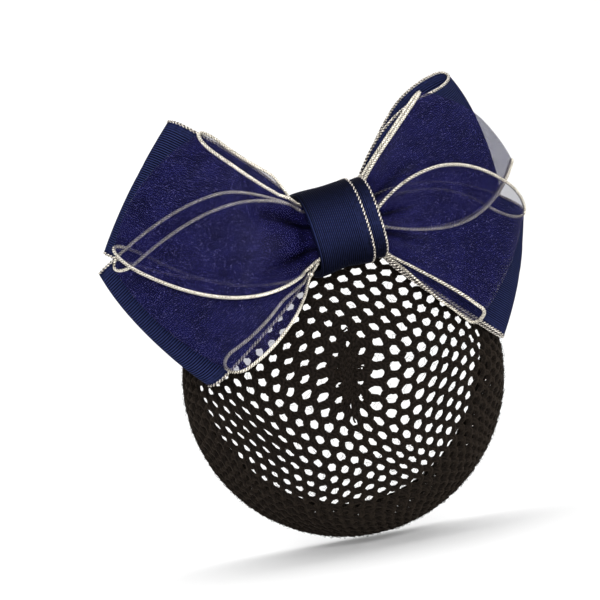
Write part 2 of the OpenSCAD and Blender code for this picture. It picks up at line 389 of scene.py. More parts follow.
@dataclass(frozen=True)
class SprungSteelFinish:
    """Brushed sprung steel. The eye sees a grey metal with lighter and darker streaks along the clip."""

    name: str = "brushed sprung steel"
    streak_mm: float = 0.4  # the real streaks are about 0.1 mm apart, too fine to show
    streaks_along_m: float = 40.0
    roughness: Pair = (0.24, 0.46)
    bump_mm: float = 0.05
    dark: str = "6c6f76"
    light: str = "a3a6ad"

    def material(self) -> bpy.types.Material:
        """The streaks are noise drawn out along the clip, in its colour, its roughness and its bump.

        Returns:
            The material.
        """
        material, tree, shader = principled(self.name, Metallic=1.0)
        place = add_node(tree, "TexCoord", {}, "Object")
        across = 1 / self.streak_mm / MM
        grain = add_node(tree, "Mapping", {0: place, "Scale": (self.streaks_along_m, across, across)})
        streaks = add_node(tree, "TexNoise", {"Vector": grain, "Scale": 1.0, "Detail": 3.0})
        stops = ((0.3, linear(self.dark)), (0.7, linear(self.light)))
        colour = add_node(tree, "ValToRGB", {0: streaks}, "Color", stops)
        rough = add_node(tree, "MapRange", {
            "Value": streaks, "To Min": self.roughness[0], "To Max": self.roughness[1]})
        bump = add_node(tree, "Bump", {"Height": streaks, "Strength": 0.4, "Distance": self.bump_mm * MM})
        tree.links.new(colour, shader.inputs["Base Color"])
        tree.links.new(rough, shader.inputs["Roughness"])
        tree.links.new(bump, shader.inputs["Normal"])
        return material


class Finish(Enum):
    """The finishes of the pieces, each with the record's material slot."""

    RIBBED = ("ribbed_ribbon", RibbedRibbonFinish())
    ORGANZA = ("organza", OrganzaFinish())
    # each thread's dark colour is its painted shade where strands meet, and its pale one shows partly in
    # painted glints
    PALE_GOLD = ("gold_braid", MetallicThreadFinish(
        "pale gold metallic thread", pale="d8d2c5", deep="7b7363", dark="1c1915", girth=1.76))
    SILVER_GOLD = ("gold_braid", MetallicThreadFinish(
        "silvery gold metallic thread", pale="cdc6bc", deep="5d564d", dark="111016", girth=1.7))
    YARN = ("net_yarn", YarnFinish())
    STEEL = ("clip_steel", SprungSteelFinish())

    @property
    def slot(self) -> str:
        """The material slot in the record."""
        return self.value[0]

    def material(self) -> bpy.types.Material:
        """The Blender material, made once."""
        made = bpy.data.materials.get(self.value[1].name)
        return made or self.value[1].material()


class Side(IntEnum):
    """The side of the knot that a loop is on, which is the sign of its x."""

    LEFT = -1
    RIGHT = 1


class Layer(IntEnum):
    """The front or the back layer of a loop, which is the sign of its way back."""

    FRONT = -1
    BACK = 1


def in_scene(name: str, data: bpy.types.ID) -> bpy.types.Object:
    """Puts an object in the scene, at the origin.

    Args:
        name: The object's name.
        data: Its mesh, lamp or camera.

    Returns:
        The object.
    """
    placed = bpy.data.objects.new(name, data)
    bpy.context.scene.collection.objects.link(placed)
    return placed


@dataclass(frozen=True)
class Surface:
    """A mesh in millimetres: points, faces of four corners, and a UV for each face corner."""

    points: np.ndarray
    faces: np.ndarray
    uv: np.ndarray

    def joined(self, *others: "Surface") -> "Surface":
        """Puts this surface and others in one mesh.

        Args:
            *others: The other surfaces.

        Returns:
            The mesh of all of them, this one first.
        """
        parts = (self, *others)
        starts = np.cumsum([0] + [len(part.points) for part in parts[:-1]])
        return Surface(np.concatenate([part.points for part in parts]),
                       np.concatenate([part.faces + start for part, start in zip(parts, starts)]),
                       np.concatenate([part.uv for part in parts]))

    def piece(self, name: str, finish: Finish, **marks: np.ndarray) -> bpy.types.Object:
        """Makes the Blender object, in metres at the origin, with its UV map and material.

        Args:
            name: The piece's name.
            finish: Its finish.
            **marks: Attributes that the material reads, each with a number from 0 to 1 for each point.

        Returns:
            The object, riding on the clip's body.
        """
        mesh = bpy.data.meshes.new(name)
        mesh.from_pydata((self.points * MM).tolist(), [], self.faces.tolist())
        layer = mesh.uv_layers.new(name="cloth")
        layer.data.foreach_set("uv", (self.uv.reshape(-1, 2) / UV_MM).astype(np.float32).ravel())
        for mark, numbers in marks.items():
            attribute = mesh.attributes.new(mark, "FLOAT", "POINT")
            attribute.data.foreach_set("value", numbers.astype(np.float32).ravel())
        mesh.materials.append(finish.material())
        mesh.shade_smooth()
        mesh.update()
        piece = in_scene(name, mesh)
        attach(piece, BODY)
        return piece


def quad_corners(i: np.ndarray, j: np.ndarray) -> list[tuple[np.ndarray, np.ndarray]]:
    """Rows and columns of the four corners of each quad, in order, from those of its first corner."""
    return [(i, j), (i + 1, j), (i + 1, j + 1), (i, j + 1)]


def full_turn(count: int) -> np.ndarray:
    """Angles at even steps round a whole turn, which ends one step short of its start."""
    return 2 * np.pi * np.arange(count) / count


def grid_surface(points: np.ndarray, uv: np.ndarray, round_rows: bool, round_columns: bool) -> Surface:
    """Quads between neighbouring points of a grid.

    Args:
        points: Rows by columns by 3.
        uv: One row and column more than points where that way is closed, so that a seam has no jump.
        round_rows: True if the last row joins the first.
        round_columns: True if the last column joins the first.

    Returns:
        The surface.
    """
    rows, columns = points.shape[:2]
    i, j = np.meshgrid(np.arange(rows - (not round_rows)), np.arange(columns - (not round_columns)),
                       indexing="ij")
    corners = quad_corners(i.ravel(), j.ravel())
    faces = np.stack([(a % rows) * columns + b % columns for a, b in corners], axis=1)
    return Surface(points.reshape(-1, 3), faces, np.stack([uv[a, b] for a, b in corners], axis=1))


def wall_uv(along: np.ndarray, across: np.ndarray) -> np.ndarray:
    """UV of a thin closed wall: the way round it by the way over its outer skin and back over its inner one.

    Args:
        along: The way to each row, and then the whole length.
        across: The way to each column of the outer skin.

    Returns:
        The UV that grid_surface takes.
    """
    over_and_back = np.concatenate([across, across[::-1], across[:1]])
    return np.stack(np.meshgrid(along, over_and_back, indexing="ij"), axis=-1)


def tubes(path: np.ndarray, side: np.ndarray, up: np.ndarray, half_w: np.ndarray, half_h: np.ndarray,
          sides: int, round_path: bool) -> Surface:
    """Many tubes of oval section: each ring is the path plus cosine times side plus sine times up.

    Args:
        path: Tubes by points by 3, the middle lines.
        side: Unit vectors across them.
        up: Unit vectors across both.
        half_w: Half width along side at each point.
        half_h: Half height along up at each point.
        sides: Corners of the section.
        round_path: True if each tube closes on itself; otherwise its ends are drawn in to a point.

    Returns:
        The surface, with the length along U and the girth along V.
    """
    count, points = path.shape[:2]
    turn = full_turn(sides)
    if not round_path:
        half_w, half_h = half_w.copy(), half_h.copy()
        half_w[:, [0, -1]] = half_h[:, [0, -1]] = TIP_R
    ring = (path[:, :, None] + np.cos(turn)[:, None] * (half_w[..., None] * side)[:, :, None]
            + np.sin(turn)[:, None] * (half_h[..., None] * up)[:, :, None])
    closed = np.concatenate([path, path[:, :1]], axis=1) if round_path else path
    steps = np.linalg.norm(np.diff(closed, axis=1, prepend=closed[:, :1]), axis=2)
    along = np.cumsum(steps, axis=1)
    girth = np.arange(sides + 1) / sides * np.pi * (half_w.max() + half_h.max())
    t, i, j = np.meshgrid(np.arange(count), np.arange(points - (not round_path)), np.arange(sides),
                          indexing="ij")
    t, i, j = t.ravel(), i.ravel(), j.ravel()
    corners = quad_corners(i, j)
    faces = np.stack([(t * points + a % points) * sides + b % sides for a, b in corners], axis=1)
    uv = np.stack([np.stack([along[t, a], girth[b]], axis=1) for a, b in corners], axis=1)
    return Surface(ring.reshape(-1, 3), faces, uv)


def headings(line: np.ndarray, axis: int = 0) -> np.ndarray:
    """Unit vectors along closed lines: at each point the way from the one before it to the one after it."""
    return unit(np.roll(line, -1, axis=axis) - np.roll(line, 1, axis=axis))


def lengths(line: np.ndarray) -> np.ndarray:
    """Finds how far along a closed line each of its points lies.

    Args:
        line: The points.

    Returns:
        The way to each point from the first, and then the whole length.
    """
    steps = np.linalg.norm(np.roll(line, -1, axis=0) - line, axis=1)
    return np.concatenate([[0], np.cumsum(steps)])


def spaced(line: np.ndarray, count: int, *others: np.ndarray) -> list[np.ndarray]:
    """Points at even steps along a closed line, and other arrays carried with them.

    Args:
        line: The closed line's points.
        count: How many points the result has.
        *others: Arrays with a row for each point of line.

    Returns:
        The spaced line and then each other array.
    """
    length = lengths(line)
    at = np.arange(count) / count * length[-1]
    arrays = [np.concatenate([array, array[:1]]) for array in (line, *others)]
    return [np.stack([np.interp(at, length, column) for column in array.T], axis=1) for array in arrays]


@dataclass(frozen=True)
class Rope:
    """A cord of round strands laid round each other. The pitch is the way along it for one turn of a
    strand, and the steps are the points on that way."""

    strands: int
    strand_r: float
    lay_r: float
    pitch: float
    steps: int = 10
    sides: int = 5

    @property
    def radius(self) -> float:
        """Half the cord's width."""
        return self.strand_r + self.lay_r

    def around(self, line: np.ndarray, side: np.ndarray, up: np.ndarray) -> Surface:
        """Lays the cord along a closed line. Strand k stands off the line by the lay radius, turned by the
        way along over the pitch plus k over the number of strands.

        Args:
            line: The closed line's points.
            side: Unit vectors across it.
            up: Unit vectors across both.

        Returns:
            The strands in one surface.
        """
        turns = max(3, round(lengths(line)[-1] / self.pitch))
        count = turns * self.steps
        line, side, up = spaced(line, count, side, up)
        side, up = unit(side), unit(up)
        size = np.full((1, count), self.strand_r)
        made = []
        for k in range(self.strands):
            turn = (2 * np.pi * (np.arange(count) * turns / count + k / self.strands))[:, None]
            out = np.cos(turn) * side + np.sin(turn) * up
            path = line + self.lay_r * out
            along = headings(path)
            across = unit(np.cross(along, out))
            outward = unit(np.cross(across, along))
            made.append(tubes(path[None], outward[None], across[None], size, size, self.sides, True))
        return made[0].joined(*made[1:])


@dataclass(frozen=True)
class Loop:
    """One loop of a ribbon ring, set out as in the part's source but a few millimetres closer to the real
    ribbon. Corners and pulls are [x, z] of its front layer.

    The shifts are how far the back layer's edges stand off the front layer's, as [x, z]. The knot is the
    lowest and the highest z where the loop goes under the wrap, the opening is half the way between the
    layers at the top and at the bottom, and the fold bow is how far the fold is bowed out.
    """

    top: Pair
    top_pull: Pair
    bottom: Pair
    bottom_pull: Pair
    opening: Pair
    top_shift: Pair
    bottom_shift: Pair
    knot: Pair
    fold_bow: float


@dataclass(frozen=True)
class BowSizes:
    """Sizes that the whole bow shares, most of them as in the part's source."""

    back_r: float = 100.0  # the radius of the clip's curved back
    wall: float = 1.0
    layer_step: float = 1.5
    layers: int = 8
    pinch_h: float = 9.0
    gather_depth: float = 0.2
    net_lift: float = 6.0
    lift_drop: float = 30.0
    lift_reach: float = 10.0
    wrap_w: float = 19.0
    wrap_ledge: float = 2.7
    wrap_lean: float = np.radians(9.0)
    wrap_over: float = 2.6
    knot_margin: float = 1.5
    under_wrap: Pair = (8.8, 11.4)  # how far out the left and the right loops start
    clip_depth: float = 10.0
    outer_bar: float = 1.2
    clearance: float = 0.3
    stack_middle: float = 15.8  # how far in front of the clip's back the pinched stack's middle lies
    stack_half_h: float = 12.2
    stack_power: float = 3.5
    stack_most: float = 0.98  # past this share of its half height the stack gets no thinner
    spread_from: float = 10.5
    spread_reach: float = 24.0
    loop_l: float = 56.0  # about how far a loop reaches past the knot

    @property
    def knot_half(self) -> float:
        """Half the length of the pinched middle."""
        return self.wrap_w / 2 + self.wrap_ledge + self.knot_margin

    def back_curve(self, x: Number) -> Number:
        """How far the clip's back curves away at x: the radius less the height of a circle's point."""
        return self.back_r - np.sqrt(self.back_r**2 - x * x)


BOW = BowSizes()


@dataclass(frozen=True)
class Pleats:
    """Folds that fan out from the knot on one side, the same for every layer, so that the layers nest.

    The apex is the point [x, z] that the folds run to, with x outwards, the valley is the angle of the
    first one and the spacing is the angle from one to the next, in degrees.
    """

    apex: Pair
    valley: float
    spacing: float
    depth: float
    sharpness: float
    at_knot: float = 0.12
    peak: float = 5.0
    reach: float = 11.0
    gather: float = 0.8
    gather_pitch: float = 2.2
    gather_reach: float = 9.0
    # where the painted shade lies in each fold: its width, where it starts and how far it reaches
    crease_w: float = 0.36
    crease_from: float = 3.0
    crease_reach: float = 9.0

    def angle(self, x: np.ndarray, z: np.ndarray) -> np.ndarray:
        """The angle of each point seen from the apex, less the first valley's, with pi from fold to fold."""
        out = np.maximum(np.abs(x), BOW.spread_from) - self.apex[0]
        seen = np.arctan2(z - self.apex[1], out)
        return np.pi * (seen / np.radians(self.spacing) - self.valley / self.spacing)

    def painted_crease_shade(self, x: np.ndarray, z: np.ndarray) -> np.ndarray:
        """How deep in a fold each point lies, 0 to 1, for its painted shade: a bell curve of the angle's
        sine, fading outwards.
        """
        past = np.clip(np.abs(x) - BOW.spread_from - self.crease_from, 0, None)
        return np.exp(-((past / self.crease_reach) ** 2) - (np.sin(self.angle(x, z)) / self.crease_w) ** 2)

    def forward(self, x: np.ndarray, z: np.ndarray, share: float) -> np.ndarray:
        """How far a point stands forward. A few deep folds: the angle's sine without its sign, raised to a
        power, so that ridges are round and valleys narrow, which fades past its peak. Fine gathers: a cosine
        of the height, which is strongest under the wrap and widens as it fades.

        Args:
            x: Places along the bow.
            z: Their heights.
            share: The part of the deep folds that a ring takes.

        Returns:
            Millimetres towards the front.
        """
        past = np.abs(x) - BOW.spread_from
        grow = mix(self.at_knot, 1.0, smooth(past / self.peak))
        grow = grow * np.exp(-(np.clip((past - self.peak) / self.reach, 0, None) ** 2))
        folds = share * self.depth * grow * np.abs(np.sin(self.angle(x, z))) ** self.sharpness
        fade = np.clip(past / self.gather_reach, 0, 1)
        fine = self.gather * (1 - fade) ** 2 * np.cos(2 * np.pi * z / (self.gather_pitch * (1 + fade)))
        return folds + fine


PLEATS = {
    Side.LEFT: Pleats(apex=(1.8, -3.4), valley=26.0, spacing=43.5, depth=4.8, sharpness=0.42),
    Side.RIGHT: Pleats(apex=(3.0, 0.0), valley=5.0, spacing=27.0, depth=1.9, sharpness=0.7),
}


@dataclass(frozen=True)
class RibbonRing:
    """A ribbon ring with a loop on each side of the knot, cloth, and a cord along each of its edges.

    The layers under are those between the ring and the clip, and the stand-off is how far in front of the
    clip's back its loops lie. A ring with a back_off goes round the ring behind it, and back_off is the
    stand-off of its back layer. The fold share is the part of the deep folds that it takes.
    """

    name: str
    node: str
    edge_name: str
    left: Loop
    right: Loop
    layers_under: int
    stand_off: float
    cloth: Finish
    thickness: float
    edge: Rope
    edge_finish: Finish
    ripple_phase: float
    fold_share: float
    width: float = 50.0
    back_off: float | None = None
    stations: int = 80
    stations_power: float = 1.7  # draws the stations together towards the folds
    columns: int = 44
    ripple: float = 0.3
    ripple_across: float = 1.3
    ripple_along: float = 0.9
    opening_power: int = 3
    shift_by: float = 0.45  # the part of the way out at which the back layer has its whole shift
    nose_share: float = 1.3  # the length of the round nose over the way between the layers
    nose_range: Pair = (0.04, 0.3)  # the least and the most of the loop that the nose may take
    painted_glint_reach: float = 1.3  # how much sooner the painted glints are whole than the loop is spread
    cord_sunk: float = 0.45  # the part of the cord's radius that lies in the cloth

    @property
    def pinched(self) -> float:
        """How far in front of the clip's back the ring's middle lies under the wrap."""
        over_clip = BOW.clip_depth + BOW.back_curve(BOW.knot_half) + BOW.clearance
        first_layer = over_clip + BOW.gather_depth + BOW.wall / 2
        return first_layer + BOW.layer_step * (self.layers_under + 0.5)

    def edges(self, loop: Loop, side: Side, t: np.ndarray) -> list[list[np.ndarray]]:
        """The bottom and the top edge of a loop's front layer: quadratic curves from under the wrap, which
        leans, by the pull to the corner of the fold.

        Args:
            loop: The loop.
            side: Its side.
            t: Ways out from the knot to the fold, 0 to 1.

        Returns:
            For each edge its x and its z.
        """
        made = []
        lines = ((loop.bottom, loop.bottom_pull, loop.knot[0]), (loop.top, loop.top_pull, loop.knot[1]))
        for corner, pull, z in lines:
            start = (side * BOW.under_wrap[side is Side.RIGHT] - z * np.tan(BOW.wrap_lean), z)
            made.append([mix(mix(s, p, t), mix(p, e, t), t) for s, p, e in zip(start, pull, corner)])
        return made

    def depths(self, loop: Loop, across: np.ndarray) -> tuple[np.ndarray, np.ndarray]:
        """How far a loop's layers lie in front of the clip's back. They open towards one edge by a power of
        the way across.

        Args:
            loop: The loop.
            across: Ways from the bottom edge to the top edge, 0 to 1.

        Returns:
            The middle between the layers, and half the way between them.
        """
        wider_up = loop.opening[0] > loop.opening[1]
        towards = (across if wider_up else 1 - across) ** self.opening_power
        opening = mix(min(loop.opening), max(loop.opening), towards)
        front = self.stand_off + opening
        back = self.stand_off - opening if self.back_off is None else self.back_off + 0 * opening
        return (front + back) / 2, (front - back) / 2

    def layer(self, side: Side, t: np.ndarray, across: np.ndarray, layer: Layer) -> np.ndarray:
        """The middle of one layer of a loop. Its depth goes from the pinched stack, an oval seen along the
        bow, to the loop's stand-off, and the two layers close in a round nose at the fold: a quarter
        circle's height over the last stretch. The fold is bowed out by a parabola, which grows with the
        fourth power of the way out. The loop is lifted off the net below it, and ripples by a sine.

        Args:
            side: The loop's side.
            t: Ways out from the knot to the fold, 0 to 1.
            across: Ways from the bottom edge to the top edge, 0 to 1.
            layer: The front or the back layer.

        Returns:
            Points, t by across by 3.
        """
        loop = self.left if side is Side.LEFT else self.right
        t, a = t[:, None], across[None, :]
        low, high = self.edges(loop, side, t)
        centre, half = self.depths(loop, a)
        shift = [mix(loop.bottom_shift[k], loop.top_shift[k], a) for k in (0, 1)]
        apart = np.hypot(half, np.hypot(*shift) / 2)
        round_t = np.clip(self.nose_share * apart / BOW.loop_l, *self.nose_range)
        nose = np.sqrt(1 - np.clip((t - 1 + round_t) / round_t, 0, 1) ** 2)
        shifted = smooth(t / self.shift_by) * (1 + layer * nose) / 2
        fold = unit(np.subtract(loop.top, loop.bottom))
        bow = loop.fold_bow * t**4 * 4 * a * (1 - a) * side
        x = mix(low[0], high[0], a) + bow * fold[1] + shift[0] * shifted
        z = mix(low[1], high[1], a) - bow * fold[0] + shift[1] * shifted
        past = np.abs(x) - BOW.spread_from
        spread = smooth(past / BOW.spread_reach)
        height = np.minimum(np.abs(z) / BOW.stack_half_h, BOW.stack_most)
        oval = (1 - height**BOW.stack_power) ** (1 / BOW.stack_power)
        # A ring's two layers lie one step apart, or three where they go round another ring.
        step = BOW.layer_step * (0.5 if self.back_off is None else 1.5)
        pinched = BOW.stack_middle + (self.pinched - BOW.stack_middle - layer * step) * oval
        depth = mix(pinched, centre - layer * half * nose, spread)
        lift = BOW.net_lift * smooth(-z / BOW.lift_drop) * smooth(past / BOW.lift_reach)
        waves = self.ripple_across * a + self.ripple_along * t
        ripple = self.ripple * spread * np.sin(2 * np.pi * waves + self.ripple_phase + layer)
        back = BOW.back_curve(np.maximum(np.abs(x), BOW.spread_from))
        y = back - depth - lift - PLEATS[side].forward(x, z, self.fold_share) - ripple
        return np.stack(np.broadcast_arrays(x, y, z), axis=-1)

    def middle(self) -> np.ndarray:
        """The whole ring: both layers of the left loop and then of the right one, at stations that draw
        together towards the folds.

        Returns:
            A grid of points, round the ring and then across it from bottom to top.
        """
        t = 1 - (1 - np.linspace(0, 1, self.stations)) ** self.stations_power
        across = np.linspace(0, 1, self.columns + 1)
        way_back = t[-2::-1]
        return np.concatenate([self.layer(Side.LEFT, t, across, Layer.FRONT),
                               self.layer(Side.LEFT, way_back, across, Layer.BACK),
                               self.layer(Side.RIGHT, t, across, Layer.BACK),
                               self.layer(Side.RIGHT, way_back, across, Layer.FRONT)])

    def normals(self, grid: np.ndarray) -> np.ndarray:
        """Unit normals of a grid that is closed along its rows: the cross product of its two slopes."""
        along = np.roll(grid, -1, axis=0) - np.roll(grid, 1, axis=0)
        return unit(np.cross(along, np.gradient(grid, axis=1)))

    def marks(self, grid: np.ndarray) -> dict[str, np.ndarray]:
        """Works out what the cloth's material reads: how deep in a fold each point is, for its painted
        shade, and how spread out it is, which fades its painted glints where the cloth is gathered.

        Args:
            grid: The ring's middle.

        Returns:
            The two attributes, for the outer skin and then the inner one.
        """
        x, z = grid[..., 0], grid[..., 2]
        # painted shade in the bottom of the folds
        fold = np.where(x < 0, PLEATS[Side.LEFT].painted_crease_shade(x, z), PLEATS[Side.RIGHT].painted_crease_shade(x, z))
        spread = smooth((np.abs(x) - BOW.spread_from) / BOW.spread_reach * self.painted_glint_reach)
        return {name: np.concatenate([mark, mark[:, ::-1]], axis=1)
                for name, mark in (("fold", fold), ("spread", spread))}

    def build(self) -> list[bpy.types.Object]:
        """Makes the cloth, as a thin closed wall, and the cords along its two edges.

        Returns:
            The cloth and the cords.
        """
        grid = self.middle()
        normal = self.normals(grid)
        outer, inner = (grid + sign * self.thickness / 2 * normal for sign in (1, -1))
        skin = np.concatenate([outer, inner[:, ::-1]], axis=1)
        along = lengths(grid[:, self.columns // 2])
        uv = wall_uv(along, np.linspace(0, self.width, self.columns + 1))
        cloth = grid_surface(skin, uv, True, True).piece(self.name, self.cloth, **self.marks(grid))
        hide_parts(self.node)
        cords = []
        for column, inside in ((0, 1), (self.columns, self.columns - 1)):
            out = unit(grid[:, column] - grid[:, inside])
            line = grid[:, column] + out * self.edge.radius * (1 - self.cord_sunk)
            cords.append(self.edge.around(line, out, normal[:, column]))
        edge = cords[0].joined(cords[1]).piece(self.edge_name, self.edge_finish)
        return [cloth, edge]


RIBBED_EDGE = Rope(strands=2, strand_r=0.27, lay_r=0.28, pitch=2.5)
ORGANZA_EDGE = Rope(strands=3, strand_r=0.28, lay_r=0.32, pitch=3.0, sides=6)
ORGANZA_WIDTH = 46.0

RINGS = (
    RibbonRing(
        "ribbed_ribbon_behind", "ribbed_ribbon_back", "silver_gold_edges_behind",
        left=Loop(top=(-71.2, -2.4), top_pull=(-37.9, 23.6), bottom=(-45.7, -43.2), bottom_pull=(-17, -20),
                  opening=(0.9, 3), top_shift=(2.8, 1.1), bottom_shift=(-1.2, 2.7), knot=(-9.5, 8.8),
                  fold_bow=2.9),
        right=Loop(top=(48.7, 38.3), top_pull=(21.2, 35.1), bottom=(64.8, 2), bottom_pull=(38, -16),
                   opening=(4, 0.9), top_shift=(7, 7), bottom_shift=(2.7, 2.4), knot=(-8.8, 9.5),
                   fold_bow=3.6),
        layers_under=0, stand_off=12.8, cloth=Finish.RIBBED, thickness=0.35, edge=RIBBED_EDGE,
        edge_finish=Finish.SILVER_GOLD, ripple_phase=0.4, fold_share=0.66),
    RibbonRing(
        "ribbed_ribbon_in_front", "ribbed_ribbon_front", "silver_gold_edges_in_front",
        left=Loop(top=(-44.1, 41.1), top_pull=(-21, 22.2), bottom=(-68.4, 4.3), bottom_pull=(-33.5, -19.6),
                  opening=(3, 0.9), top_shift=(-0.5, -0.5), bottom_shift=(0, 1.5), knot=(-8.6, 7.4),
                  fold_bow=1.3),
        right=Loop(top=(74.6, -4.1), top_pull=(35.5, 15.3), bottom=(51.4, -43.3), bottom_pull=(18.8, -19.9),
                   opening=(0.9, 1.3), top_shift=(-2.3, -2.8), bottom_shift=(-0.4, -0.4), knot=(-8.7, 6),
                   fold_bow=1),
        layers_under=2, stand_off=18, cloth=Finish.RIBBED, thickness=0.35, edge=RIBBED_EDGE,
        edge_finish=Finish.SILVER_GOLD, ripple_phase=1.7, fold_share=0.84),
    RibbonRing(
        "organza_ribbon_behind", "organza_ribbon_back", "gold_edges_behind",
        left=Loop(top=(-65.5, -3.8), top_pull=(-32.2, 21.2), bottom=(-42, -40.3), bottom_pull=(-22.9, -32.5),
                  opening=(0.9, 4), top_shift=(-3.3, 4), bottom_shift=(-1.7, 5.9), knot=(-9.5, 5.6),
                  fold_bow=3.6),
        right=Loop(top=(35.4, 37.6), top_pull=(10.5, 12.9), bottom=(68.1, 12.3), bottom_pull=(47.6, -15.2),
                   opening=(1, 0.9), top_shift=(-1.8, -0.9), bottom_shift=(0.8, 0.9), knot=(-1.4, 8.7),
                   fold_bow=5.1),
        layers_under=5, stand_off=25.5, cloth=Finish.ORGANZA, thickness=0.2, edge=ORGANZA_EDGE,
        edge_finish=Finish.PALE_GOLD, ripple_phase=3.1, fold_share=0.9, width=ORGANZA_WIDTH),
    RibbonRing(
        "organza_ribbon_in_front", "organza_ribbon_front", "gold_edges_in_front",
        left=Loop(top=(-40.6, 33.1), top_pull=(-25.7, 14.6), bottom=(-69.7, 4.3), bottom_pull=(-37.7, -30),
                  opening=(4, 0.9), top_shift=(4.7, 3.4), bottom_shift=(6.4, 3), knot=(-9, 7.8),
                  fold_bow=4.8),
        right=Loop(top=(72.3, -2.9), top_pull=(36.3, 26.3), bottom=(40.3, -34.2), bottom_pull=(34.6, -30.2),
                   opening=(0.9, 4), top_shift=(-7, -6.3), bottom_shift=(-0.5, -3.7), knot=(-9.5, 0.8),
                   fold_bow=1.4),
        layers_under=5, stand_off=29.6, cloth=Finish.ORGANZA, thickness=0.2, edge=ORGANZA_EDGE,
        edge_finish=Finish.PALE_GOLD, ripple_phase=4.6, fold_share=1.0, width=ORGANZA_WIDTH, back_off=22.0),
)


